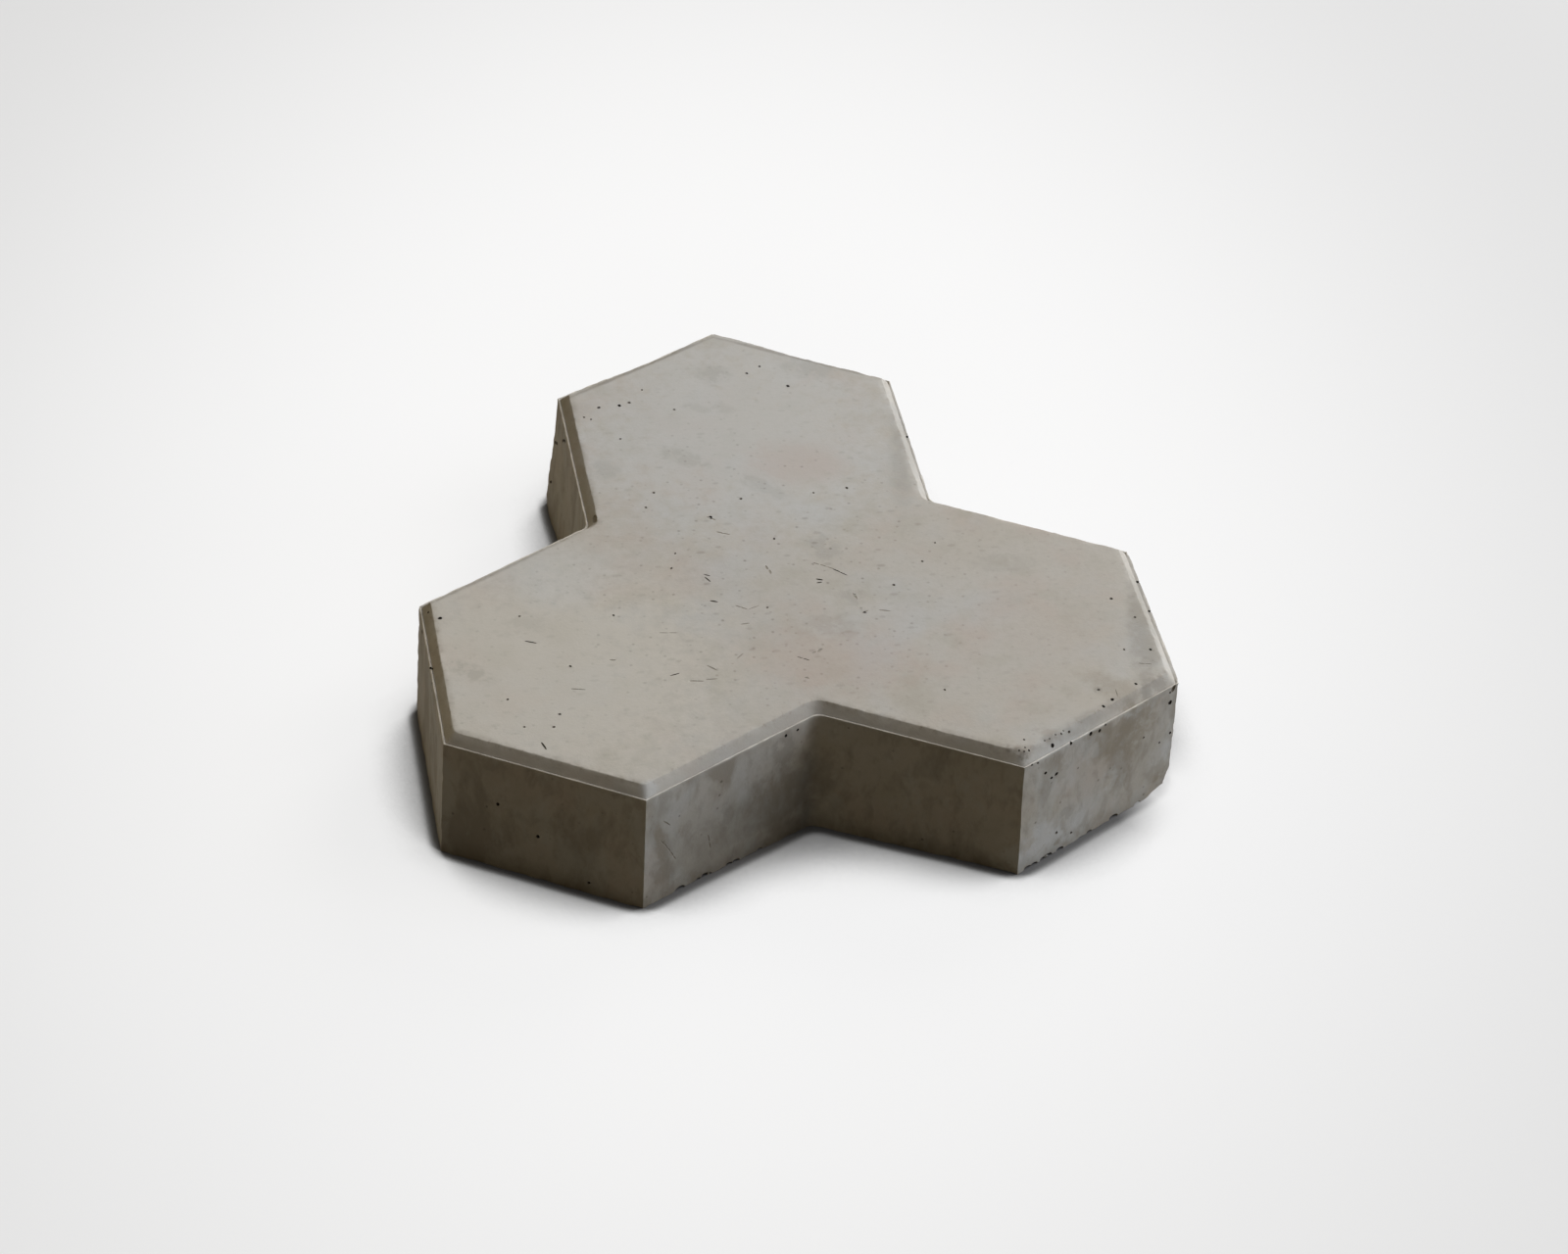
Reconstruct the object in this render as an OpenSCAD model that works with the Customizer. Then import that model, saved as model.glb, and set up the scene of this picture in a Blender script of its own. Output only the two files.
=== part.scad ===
// Three-hexagon concrete paving stone.
// Three equal hexagons are cast as one stone and share a single corner at its centre.
// Its outline is a hexagon twice as wide with a vee notch in every second corner,
// so the corner of a neighbouring stone drops into each notch when the stones are laid.
// The origin is the centre of the bed, +Z points up and +Y runs along one hexagon.

/* [Stone] */
// Width of each hexagon across its flats, measured at the bed
hex_flats = 150; // [100:1:220]
// Height from the bed to the wearing face
thickness = 60; // [40:1:100]

/* [Moulded side] */
// Lean of the sides from upright, in degrees, which lets the stone leave its mould
draft = 1.5; // [0:0.1:4]
// Width of the level ledge between a side and its chamfer
ledge_w = 1; // [0.4:0.1:2]
// Width of the chamfer round the wearing face, seen from above
chamfer_w = 3.4; // [2:0.1:9]
// Height of the chamfer
chamfer_h = 4; // [2:0.1:9]
// Radius in the inner corner of each notch, measured at the bed
notch_round = 5; // [1:0.5:15]

/* [Finish] */
// Colour of the bare concrete
concrete_colour = "#aca79e"; // ["#aca79e":Grey, "#8f8a82":Dark grey, "#a9745c":Red]

/* [Hidden] */

// Six sides close the outer hexagon, and a notch opens in every second corner of it.
outer_sides = 6;
side_step = 360 / outer_sides;
notches = outer_sides / 2;
notch_step = 360 / notches;
first_notch = side_step / 2;

// The two sides of a notch belong to neighbouring hexagons and face this far either way of it.
notch_half_turn = side_step / 2;

// Distance at the bed from the centre to the outer sides, and to the sides of the notches.
outer_reach = hex_flats;
notch_reach = hex_flats / 2;

// The two sides of a notch, and the narrow ones that round its inner corner, all touch one arc.
// The arc's centre is this far from the stone's, and this many equal turns lead from side to side.
round_centre = (notch_reach + notch_round) / cos(notch_half_turn);
round_turns = 5;
round_step = 2 * notch_half_turn / round_turns;

// A block this long and this wide takes in the whole stone.
span = 3 * outer_reach;

// Level of the ledge, and how far its two edges are set back from the bed's edge.
ledge_z = thickness - chamfer_h;
ledge_outer = ledge_z * tan(draft);
ledge_inner = ledge_outer + ledge_w;

// All that lies behind one side, from below the low level to above the high one.
// The side faces the given direction and is set back from its reach by the inset of each level.
module behind_side(direction, reach, low, high) {
    rise = high[0] - low[0];
    lean = high[1] - low[1];
    rotate([0, 0, direction])
        translate([reach, 0, 0])
            rotate([90, 0, 0])
                linear_extrude(height = span, center = true)
                    polygon([
                        [-low[1] + lean, low[0] - rise],
                        [-high[1] - lean, high[0] + rise],
                        [-span, high[0] + rise],
                        [-span, low[0] - rise],
                    ]);
}

// All that lies behind any side of one notch, from one straight side round to the other.
module behind_notch(direction, low, high) {
    for (turn = [-notch_half_turn : round_step : notch_half_turn])
        behind_side(direction + turn, round_centre * cos(turn) - notch_round, low, high);
}

// One layer of the stone between two levels, each given as its height and the inset of the sides there.
module stone_layer(low, high) {
    intersection() {
        translate([-span / 2, -span / 2, low[0]])
            cube([span, span, high[0] - low[0]]);
        intersection_for(side = [0 : outer_sides - 1])
            behind_side(side * side_step, outer_reach, low, high);
        intersection_for(notch = [0 : notches - 1])
            behind_notch(first_notch + notch * notch_step, low, high);
    }
}

// The drafted body, and the chamfered layer that stands inside its ledge.
module paving_stone() {
    color(concrete_colour) {
        stone_layer([0, 0], [ledge_z, ledge_outer]);
        stone_layer([ledge_z, ledge_inner], [thickness, ledge_inner + chamfer_w]);
    }
}

paving_stone();
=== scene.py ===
"""A grey concrete paving stone, cast in one piece as three joined hexagons, on a pale studio floor.

The stone is modelled from its plan upwards, as its mould is cut: leaning sides, ledge, chamfer and face.
Wear, pores and scuffs are then worked into its mesh, and its concrete is made of shader nodes.
"""
import math
import random

import bpy
import numpy as np
from mathutils import Matrix, Vector


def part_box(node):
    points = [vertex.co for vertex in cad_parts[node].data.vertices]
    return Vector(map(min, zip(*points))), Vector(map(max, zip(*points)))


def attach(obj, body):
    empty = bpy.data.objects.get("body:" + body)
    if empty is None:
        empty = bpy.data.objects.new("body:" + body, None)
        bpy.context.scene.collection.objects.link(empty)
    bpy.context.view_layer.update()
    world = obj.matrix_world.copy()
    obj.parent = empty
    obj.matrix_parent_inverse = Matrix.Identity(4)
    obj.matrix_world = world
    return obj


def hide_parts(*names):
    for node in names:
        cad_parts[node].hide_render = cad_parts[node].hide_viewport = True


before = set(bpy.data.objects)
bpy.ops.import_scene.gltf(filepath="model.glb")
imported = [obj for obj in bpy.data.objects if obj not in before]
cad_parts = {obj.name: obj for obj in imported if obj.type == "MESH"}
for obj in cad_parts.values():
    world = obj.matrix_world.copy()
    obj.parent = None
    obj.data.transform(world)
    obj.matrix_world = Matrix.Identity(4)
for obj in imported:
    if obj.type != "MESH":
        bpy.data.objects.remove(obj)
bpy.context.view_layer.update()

MM = 0.001
SEED = 31

# Sizes of the stone, the same as in the part's source
stone_low, stone_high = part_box("paving_stone")
HEX_FLATS = stone_high.x
THICKNESS = stone_high.z
HEX_SIDE = HEX_FLATS / math.sqrt(3)
HEX_TURNS = (90, 210, 330)
NOTCH_TURNS = (30, 150, 270)
CORNERS = {
    **{turn: 2 * HEX_SIDE for turn in HEX_TURNS},
    **{turn + side: HEX_FLATS for turn in HEX_TURNS for side in (-30, 30)},
}
SIDE_TURNS = (0, 60, 120, 180, 240, 300)
DRAFT_IN = 1.466 * MM
LEDGE_W = 1.0 * MM
CHAMFER_W = 3.4 * MM
CHAMFER_H = 4.0 * MM
LEDGE_Z = THICKNESS - CHAMFER_H
FACE_IN = DRAFT_IN + LEDGE_W + CHAMFER_W

# The thin bead of cement that stands on the ledge, and the worn rim of the face, as steps in and up
LIP_START = (0.15 * MM, 0.20 * MM)
LIP_STEPS = ((0.12 * MM, 0.35 * MM), (0.23 * MM, 0.15 * MM), (0.35 * MM, 0.0), (0.45 * MM, -0.45 * MM))
RIM_START = (0.324 * MM, 0.381 * MM)
RIM_STEPS = ((0.26 * MM, 0.24 * MM), (0.28 * MM, 0.115 * MM), (0.284 * MM, 0.026 * MM))

# Fineness of the mesh: cuts across each kind of face, the share of its faces that the bed keeps, the border
# of the bed that stays fine, and the height under which a face belongs to the bed
FACE_CUTS = 57
SIDE_CUTS = 35
CHAMFER_CUTS = 3
BED_SHARE = 0.2
BED_BORDER = 3 * MM
BED_TOP = 0.1 * MM

# Vertices closer than this are merged, in the plan and in the raised stone
MERGE_PLAN = 0.1 * MM
MERGE_STONE = 0.01 * MM
# Slack with which the vertices of an upright are found
SLACK = 0.2 * MM
# Steps in which a vertex group holds its shares
SHARE_STEPS = 12
# Faces that meet at more than this stay sharp
SHARP_ANGLE = math.radians(38)

# Sides that face +X, where the lip is pressed nearly flat: how far out each lies, where it starts and ends
# along Y, and how far its ledge is spread
FLAT_LIPS = (
    (HEX_FLATS, -HEX_SIDE, 0, 1.35),
    (HEX_FLATS / 2, HEX_SIDE / 2, 1.5 * HEX_SIDE, 1.0),
)
# The share of its height that a flat lip keeps, how far from the ledge's level it reaches, and the length at
# each end of a side that stays as it is
FLAT_LIP_SHARE = 0.3
LIP_BAND = 0.5 * MM
MITRE_GAP = 3 * MM

# Reach of the rounding in the inner corner of each notch, by the way the notch points, and the share of it
# that the corner moves
NOTCH_ROUNDS = {30: 3 * MM, 150: 3 * MM, 270: 3.6 * MM}
NOTCH_PULL = 0.25
# Corners that the mould left out of true: the way each points, the part of its height that is shifted,
# the shift in mm, how far in mm it spreads and how it falls off
CORNER_SHIFTS = (
    (90, "whole", (1.5, 1.2, 0), 55, "SMOOTH"),
    (120, "whole", (0.3, 3.6, 0), 55, "SMOOTH"),
    (120, "foot", (-3.1, -2.1, 0), 55, "SMOOTH"),
    (300, "foot", (1.6, 0, 0), 55, "SMOOTH"),
    (330, "foot", (-1.5, 0.9, 1.2), 12, "SMOOTH"),
    (270, "whole", (0, -1.4, 0), 80, "LINEAR"),
    (270, "foot", (0, -2.4, 0), 60, "LINEAR"),
)

# Upper corners that are worn round, as pixels of the photograph: how far each reaches in mm, and how often
# it is smoothed
WORN_MITRES = (
    ((1053, 763), 10, 14), ((1066, 755), 9, 10), ((1090, 742), 8, 5), ((656, 801), 5, 2), ((460, 747), 6, 4),
    ((1194, 694), 7, 6),
)
WORN_ABOVE_LEDGE = 0.6 * MM
SMOOTHING = 0.5

# Relief of the surface: a name, the size of its lumps, its height, the level of it that stays in place,
# and the part of the stone that has it
RELIEFS = (
    ("cast_skin", 26 * MM, 0.30 * MM, 0.7, "whole"),
    ("cast_ripple", 8 * MM, 0.07 * MM, 0.6, "whole"),
    ("worn_rim", 7 * MM, 0.8 * MM, 0.6, "rim"),
    ("worn_rim_fine", 2.4 * MM, 0.5 * MM, 0.6, "rim"),
    ("uneven_lip", 5 * MM, 0.6 * MM, 0.65, "lip"),
    ("ragged_foot", 6 * MM, 0.9 * MM, 0.62, "foot"),
    ("rough_bed", 14 * MM, 0.9 * MM, 0.9, "bed"),
    ("worn_corners", 4 * MM, 0.9 * MM, 0.7, "corners"),
)

# The camera, fitted to corners of the stone that were picked in the photograph
IMAGE_WIDTH = 1600
IMAGE_HEIGHT = 1280
SENSOR = 36.0
LENS = 91.39
VIEW_AZIMUTH = math.radians(-12.775)
VIEW_ELEVATION = math.radians(39.742)
VIEW_ROLL = math.radians(3.707)
VIEW_DISTANCE = 1.6586
AIM = Vector((0, 0, THICKNESS / 2))
AIM_RIGHT = 3.76 * MM
AIM_UP = -0.42 * MM

level_away = Vector((-math.sin(VIEW_AZIMUTH), math.cos(VIEW_AZIMUTH), 0))
level_right = Vector((math.cos(VIEW_AZIMUTH), math.sin(VIEW_AZIMUTH), 0))
view_back = Vector((
    math.sin(VIEW_AZIMUTH) * math.cos(VIEW_ELEVATION),
    -math.cos(VIEW_AZIMUTH) * math.cos(VIEW_ELEVATION),
    math.sin(VIEW_ELEVATION),
))
level_up = view_back.cross(level_right)
view_right = math.cos(VIEW_ROLL) * level_right + math.sin(VIEW_ROLL) * level_up
view_up = math.cos(VIEW_ROLL) * level_up - math.sin(VIEW_ROLL) * level_right
eye = AIM + view_back * VIEW_DISTANCE + view_right * AIM_RIGHT + view_up * AIM_UP

# The bubble that every hollow is cut from, a pore's length and depth as shares of its width, and how far its
# width strays from the mean
BUBBLE_UNEVENNESS = 0.14
BUBBLE_SEED = 7
PORE_LENGTH = 1.2
PORE_DEPTH = 0.7
PORE_SPREAD = (0.8, 1.2)

# Pores that show nearly black, as pixels of the photograph
DEEP_PORES = (
    (775, 374), (804, 394), (762, 381), (632, 414), (611, 416), (725, 528), (449, 631), (1134, 611),
    (1159, 698), (1135, 714), (1126, 721), (1074, 761), (926, 446), (440, 682), (1093, 759), (1073, 794),
    (1067, 789), (1078, 790), (1194, 748), (802, 751), (814, 745), (508, 821), (549, 854), (601, 901),
    (441, 698), (441, 705), (1174, 663), (1161, 594), (1173, 624),
)
# The largest ones, under the lip
WIDE_PORES = ((1113, 749), (1122, 746), (431, 645), (1194, 717))
# Pores that show grey
FAINT_PORES = (
    (642, 411), (596, 426), (603, 428), (655, 398), (688, 418), (633, 448), (667, 503), (659, 518),
    (756, 509), (830, 503), (864, 498), (530, 629), (626, 628), (518, 714), (582, 680), (571, 729),
    (565, 742), (535, 742), (1158, 630), (1147, 663), (1121, 704), (1045, 755), (1091, 747), (964, 704),
    (941, 573), (954, 554), (912, 597), (882, 625), (872, 607), (437, 625), (1128, 740), (1053, 781),
    (1059, 779), (1194, 707), (1167, 753), (1183, 758), (1078, 850), (1093, 850), (685, 580), (689, 565),
    (783, 620), (790, 550),
)
# The smallest ones, along the worn rim
FINE_PORES = (
    (1040, 766), (1045, 767), (1050, 766), (1066, 756), (1071, 754), (1077, 750), (1083, 749), (1085, 746),
    (1046, 763),
)
# Nicks that show dark, each from one pixel to another, with a width in mm
DARK_NICKS = (
    ((850, 581), (864, 587), 0.6), ((833, 591), (839, 592), 0.9), ((833, 595), (839, 594), 0.9),
    ((718, 586), (725, 588), 0.8), ((719, 589), (725, 594), 0.9), ((725, 613), (732, 614), 1.3),
    ((536, 654), (547, 656), 1.0), ((813, 670), (826, 674), 0.6), ((683, 690), (694, 687), 0.7),
    ((552, 758), (557, 765), 0.9), ((566, 452), (569, 453), 1.8), ((574, 450), (577, 451), 1.8),
    ((561, 492), (563, 492), 1.6),
)
# Scuffs that show grey
FAINT_NICKS = (
    ((829, 574), (851, 581), 0.7), ((721, 527), (731, 531), 0.8), ((731, 543), (744, 546), 1.0),
    ((750, 618), (762, 622), 0.7), ((763, 622), (774, 618), 0.6), ((756, 637), (764, 636), 1.2),
    ((828, 667), (833, 665), 1.3), ((834, 665), (838, 662), 1.2), ((752, 673), (759, 667), 0.8),
    ((673, 646), (681, 646), 0.6), ((683, 646), (691, 646), 0.6), ((722, 679), (732, 684), 0.9),
    ((880, 625), (885, 623), 1.0), ((897, 623), (908, 624), 0.9), ((821, 691), (826, 692), 1.2),
    ((622, 674), (628, 674), 1.0), ((583, 703), (597, 704), 0.8), ((704, 695), (718, 695), 0.7),
    ((720, 694), (732, 693), 0.7), ((782, 577), (786, 586), 1.2), ((870, 605), (875, 612), 1.2),
    ((1138, 704), (1140, 711), 0.8), ((1161, 677), (1175, 678), 0.6), ((674, 858), (690, 877), 0.8),
    ((677, 838), (684, 842), 1.0), ((722, 852), (725, 866), 0.8),
)
# A long nick is cut as several strokes of about this length, which vary in length, width and place
STROKE = 3.5 * MM
STROKE_LENGTHS = (0.9, 1.3)
STROKE_WIDTHS = (0.6, 1.0)
STROKE_ASIDE = 0.3
# Chips knocked off the edges: a pixel and the chip's length, width and depth in mm
CHIPS = (((1197, 703), (4, 2.5, 0.8)), ((607, 530), (5, 3, 0.5)))
# Bits broken out of the foot of the two sides in the light: pixels, the height of their middles, the range of
# their widths in mm, and their length and depth as shares of the width
FOOT_BREAKS = (
    (694, 902), (713, 894), (719, 891), (724, 889), (744, 879), (751, 876), (775, 865), (1049, 880),
    (1056, 876), (1066, 870), (1070, 868), (1082, 861), (1112, 843), (1137, 827), (1161, 813),
)
FOOT_BREAK_Z = 0.4 * MM
FOOT_BREAK_SIZES = (1.2, 3.2)
FOOT_BREAK_LENGTH = 1.7
FOOT_BREAK_DEPTH = 0.5
# Pores on the sides out of the camera's sight and on the bed: how many, and the range of their sizes in mm
UNSEEN_SIDE_PORES = 60
BED_PORES = 70
UNSEEN_SIZES = (0.7, 1.9)
# A face that turns less than the first towards the camera is out of sight. Upwards, a side turns more than
# the second and the bed less than the third
SIGHT_LIMIT, SIDE_LIMIT, BED_LIMIT = 0.02, -0.5, -0.9

# Finishes of the hollows, by their places in the stone's list of materials, where the skin comes first
PASTE_AND_SHADE, NICK_AND_SHADE, SCUFF, RUB = 1, 2, 3, 4
# The same finishes in that order: a name, and a dark and a light shade
BARE_FINISHES = (
    # The first two are dark partly as cement paste and partly as painted shade inside the hollows
    ("pore_paste_and_painted_shade", "#26221D", "#3C372F"),
    ("nick_paste_and_painted_shade", "#3F3A31", "#514B41"),
    ("scuffed_concrete", "#757067", "#868177"),
    ("rubbed_concrete", "#8B867C", "#979289"),
)
# Which pores have which mean size and finish, and which nicks have which depth and finish
PORES = (
    (DEEP_PORES, 1.35 * MM, PASTE_AND_SHADE), (WIDE_PORES, 1.9 * MM, PASTE_AND_SHADE), (FAINT_PORES, 1.1 * MM, SCUFF),
    (FINE_PORES, 0.7 * MM, NICK_AND_SHADE),
)
NICKS = ((DARK_NICKS, 0.35 * MM, NICK_AND_SHADE), (FAINT_NICKS, 0.14 * MM, RUB))

# Patches of the skin and blotches of the sides: a seed, the size in mm, the tint and the most there is of it
PATCHES = ((4.1, 24, "#ABA198", 0.6), (7.7, 15, "#A19D92", 0.6), (9.2, 32, "#ACADAC", 0.6))
BLOTCHES = ((2.2, 16, "#857E72", 0.7), (5.9, 16, "#B2B4B3", 0.5), (3.6, 6, "#8C877D", 0.45))
# Dots and dashes on the face: a turn in degrees, a scale, the spacing in mm and the most there is of it
RUB_MARKS = (
    (0, (1, 1, 1), 7, 0.5), (20, (0.8, 1, 1), 5, 0.3),
    (-14, (0.5, 1, 1), 10, 0.28), (47, (0.6, 1, 1), 9, 0.3),
)
# Stains, and a few patches of painted shade: a pixel, the length, width and height in mm, a turn in degrees,
# the tint and its share
GREY, PINK, PALE, WARM, LIGHT, BROWN = "#86837B", "#A88F83", "#B7B9B9", "#857C6C", "#BFBBB1", "#7A6B5B"
# This dark tint serves for damp and for painted shade: the shade in the front notch and the shadow line along
# the back rims
DAMP_AND_SHADE = "#6B655A"
STAINS_AND_PAINTED_SHADE = (
    # The first of these is painted shade, darkening the inner corner of the front notch
    ((802, 812), (44, 44, 40), 0, DAMP_AND_SHADE, 0.5), ((593, 420), (14, 14, 9), 0, BROWN, 0.2),
    ((1190, 765), (9, 9, 14), 0, PALE, 0.5), ((1130, 800), (10, 10, 16), 0, PALE, 0.4),
    ((545, 690), (170, 170, 12), 0, LIGHT, 0.55), ((750, 440), (170, 170, 12), 0, PALE, 0.5),
    ((1150, 707), (46, 14, 12), -30, WARM, 0.35), ((1045, 766), (10, 6, 6), 0, BROWN, 0.25),
    ((1076, 751), (16, 6, 6), -25, BROWN, 0.25), ((1121, 704), (4, 4, 4), 0, GREY, 0.5),
    ((742, 850), (70, 70, 36), 0, GREY, 0.35), ((760, 762), (96, 9, 9), 43, GREY, 0.22),
    ((922, 447), (14, 110, 14), 0, GREY, 0.35), ((1166, 628), (14, 110, 14), 0, GREY, 0.5),
    # The three thin tints 92 mm long on this line and the next are a painted shadow line along the rims at
    # the back
    ((1100, 740), (66, 7, 9), 43, GREY, 0.4), ((651, 376), (92, 2.6, 5), 41, DAMP_AND_SHADE, 0.5),
    ((815, 366), (92, 2.6, 5), -17, DAMP_AND_SHADE, 0.4), ((515, 580), (92, 2.6, 5), 43, DAMP_AND_SHADE, 0.4),
    ((727, 382), (15, 13, 9), 0, GREY, 0.26), ((725, 416), (24, 8, 9), 0, GREY, 0.15),
    ((618, 480), (12, 13, 9), 30, GREY, 0.26), ((695, 466), (26, 9, 9), -25, GREY, 0.24),
    ((810, 472), (46, 32, 9), 0, PINK, 0.22), ((1034, 770), (18, 7, 7), -17, DAMP_AND_SHADE, 0.6),
    ((664, 806), (9, 9, 7), 0, PALE, 0.5), ((1178, 702), (24, 8, 9), 43, GREY, 0.45),
    ((905, 734), (40, 6, 7), -17, LIGHT, 0.3), ((779, 497), (26, 9, 9), -30, GREY, 0.2),
    ((829, 374), (24, 18, 9), 0, GREY, 0.25), ((840, 560), (14, 17, 9), 20, GREY, 0.3),
    ((849, 639), (28, 15, 9), 0, GREY, 0.22), ((870, 608), (11, 11, 9), 0, GREY, 0.28),
    ((851, 673), (80, 45, 9), 0, PINK, 0.2), ((481, 686), (22, 9, 9), -30, GREY, 0.3),
    ((540, 636), (16, 11, 9), 0, GREY, 0.16), ((1025, 575), (30, 14, 9), 0, GREY, 0.14),
    ((1065, 643), (70, 45, 9), 0, PINK, 0.07), ((560, 585), (60, 40, 9), 0, PALE, 0.3),
    ((1062, 868), (36, 36, 28), 0, PALE, 0.7), ((1150, 748), (32, 32, 24), 0, WARM, 0.55),
    ((1113, 765), (16, 16, 14), 0, PALE, 0.4), ((1180, 787), (12, 12, 12), 0, WARM, 0.45),
    ((1088, 833), (10, 10, 12), 0, GREY, 0.4), ((739, 839), (10, 10, 18), 0, GREY, 0.4),
    ((688, 834), (14, 14, 16), 0, PALE, 0.2), ((799, 766), (12, 12, 16), 0, GREY, 0.5),
)
# A stain fades to nothing at this share of its size from its middle
STAIN_REACH = 0.8
# Stains longer than this, in mm, have a soft edge, and smaller ones a ragged edge
BROAD_STAIN = 40

# The floor: its size, how far it lies under the bed, and the share of it that the lamps light
FLOOR_SIZE = 12.0
FLOOR_DROP = 0.05 * MM
FLOOR_LIT = 0.14
# Middle of the floor's glow, and how far it reaches across the view and along it
GLOW_CENTRE = level_away * 0.10 - level_right * 0.03
GLOW_REACH = (0.318, 0.518, 1.0)
# Shade under the stone's foot, close and wide: its reach, the open shares of the sky it starts and ends at,
# and the least share of light in it
CONTACT_SHADES = ((7 * MM, 0.73, 0.90, 0.05), (50 * MM, 0.51, 0.76, 0.13))
CONTACT_SAMPLES = 12
# The corner that has little shade under its foot, how far that reaches, and the least light there
LIGHT_CORNER = (HEX_FLATS, -HEX_SIDE, 0)
LIGHT_REACH = (8 * MM, 30 * MM)
LIGHT_LEAST = 0.8
# No shade reaches this far from the middle of the stone
SHADED = 0.228

# Soft round lamps: a name, the azimuth and elevation in degrees, and the red, green and blue light they give
LAMPS = (
    ("back_right", 50, 30, (0.60, 0.585, 0.57)),
    ("right_high", 0, 50, (0.42, 0.405, 0.387)),
    ("right_middle", 0, 30, (0.21, 0.24, 0.29)),
    ("right_low", 0, 10, (0.36, 0.37, 0.38)),
    ("front_right", -30, 50, (0.05, 0.05, 0.05)),
    ("overhead", 0, 80, (0.05, 0.05, 0.05)),
    ("back_left", 140, 27, (0.152, 0.122, 0.073)),
    ("front_left", 220, 10, (0.056, 0.044, 0.026)),
)
LAMP_DISTANCE = 3.0
LAMP_SIZE = 1.5
ROOM_LIGHT = 0.004

# Sockets of a Mix node that is set to colours
FACTOR, FIRST, SECOND, RESULT = 0, 6, 7, 2


def set_camera():
    """Puts the camera where the photograph was taken from."""
    lens = bpy.data.cameras.new("camera")
    lens.sensor_width = SENSOR
    lens.lens = LENS
    camera = bpy.data.objects.new("camera", lens)
    bpy.context.scene.collection.objects.link(camera)
    axes = Matrix((view_right, view_up, view_back)).transposed()
    camera.matrix_world = Matrix.Translation(eye) @ axes.to_4x4()
    bpy.context.scene.camera = camera


def sight_line(pixel):
    """Direction from the camera through a pixel of the photograph."""
    focal = LENS / SENSOR * IMAGE_WIDTH
    across = (pixel[0] - IMAGE_WIDTH / 2) / focal
    down = (pixel[1] - IMAGE_HEIGHT / 2) / focal
    return (view_right * across - view_up * down - view_back).normalized()


def on_stone(pixel):
    """The place on the stone that the camera sees at a pixel, and the way the stone faces there."""
    seen, place, facing, _ = stone.ray_cast(eye, sight_line(pixel))
    assert seen, pixel
    return place, facing


def towards(turn, reach=1.0):
    """Level vector of a length that points a number of degrees round from +X."""
    return Vector((math.cos(math.radians(turn)), math.sin(math.radians(turn)), 0)) * reach


def read(items, what, width=3):
    """One property of every vertex, edge or face of a mesh, as rows."""
    values = np.empty(len(items) * width)
    items.foreach_get(what, values)
    return values.reshape(-1, width)


def edge_ends(mesh):
    """The two end points of every edge of a mesh."""
    points = read(mesh.vertices, "co")
    ends = read(mesh.edges, "vertices", 2).astype(int)
    return points[ends[:, 0]], points[ends[:, 1]]


def inside_outline(points):
    """How far points lie in from the outline of the bed."""
    def gap(turn, reach):
        return reach - points[:, :2] @ np.array(towards(turn).xy)

    outer = [gap(turn, HEX_FLATS) for turn in SIDE_TURNS]
    notches = [
        np.maximum(gap(turn - 30, HEX_FLATS / 2), gap(turn + 30, HEX_FLATS / 2)) for turn in NOTCH_TURNS
    ]
    return np.min(outer + notches, axis=0)


def pick(mode, chosen):
    """Goes to edit mode with only the chosen vertices, edges or faces selected."""
    mesh = bpy.context.object.data
    bpy.ops.object.mode_set(mode="EDIT")
    bpy.ops.mesh.select_mode(type=mode)
    bpy.ops.mesh.select_all(action="DESELECT")
    bpy.ops.object.mode_set(mode="OBJECT")
    items = {"VERT": mesh.vertices, "EDGE": mesh.edges, "FACE": mesh.polygons}[mode]
    items.foreach_set("select", np.asarray(chosen, dtype=bool))
    bpy.ops.object.mode_set(mode="EDIT")


def lay_out_plan():
    """Three hexagons with a shared corner at the centre, each of three rhombs, joined as the stone's plan."""
    discs = []
    for turn in HEX_TURNS:
        bpy.ops.object.select_all(action="DESELECT")
        middle = towards(turn, HEX_SIDE)
        bpy.ops.mesh.primitive_circle_add(vertices=6, radius=HEX_SIDE, fill_type="TRIFAN", location=middle)
        disc = bpy.context.object
        starts, ends = edge_ends(disc.data)
        loose_spokes = np.zeros(len(starts), dtype=bool)
        for part in (0, 120, 240):
            spoke = np.array(towards(turn + part, HEX_SIDE / 2))
            loose_spokes |= np.linalg.norm((starts + ends) / 2 - spoke, axis=1) < MM
        pick("EDGE", loose_spokes)
        bpy.ops.mesh.dissolve_edges(use_verts=False)
        bpy.ops.object.mode_set(mode="OBJECT")
        discs.append(disc)
    for disc in discs:
        disc.select_set(True)
    bpy.ops.object.join()
    bpy.ops.object.transform_apply(location=True, rotation=True, scale=True)
    plan = bpy.context.object
    plan.name = "dressed_stone"
    return plan


def raise_stone():
    """Raises the plan to the stone: bed, leaning sides, ledge, chamfer and wearing face."""
    lip_foot = sum(step[1] for step in LIP_STEPS) - LIP_START[1]
    steps = (
        (DRAFT_IN - LIP_START[0], LEDGE_Z - LIP_START[1]),
        *LIP_STEPS,
        (CHAMFER_W - RIM_START[0], CHAMFER_H - RIM_START[1] - lip_foot),
        *RIM_STEPS,
    )
    bpy.ops.object.mode_set(mode="EDIT")
    bpy.ops.mesh.select_all(action="SELECT")
    bpy.ops.mesh.remove_doubles(threshold=MERGE_PLAN)
    bpy.ops.mesh.duplicate()
    for step_in, step_up in steps:
        bpy.ops.mesh.inset(thickness=step_in, depth=step_up, use_even_offset=True)
    bpy.ops.mesh.select_all(action="SELECT")
    bpy.ops.mesh.remove_doubles(threshold=MERGE_STONE)
    bpy.ops.mesh.normals_make_consistent(inside=False)
    bpy.ops.object.mode_set(mode="OBJECT")


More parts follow.
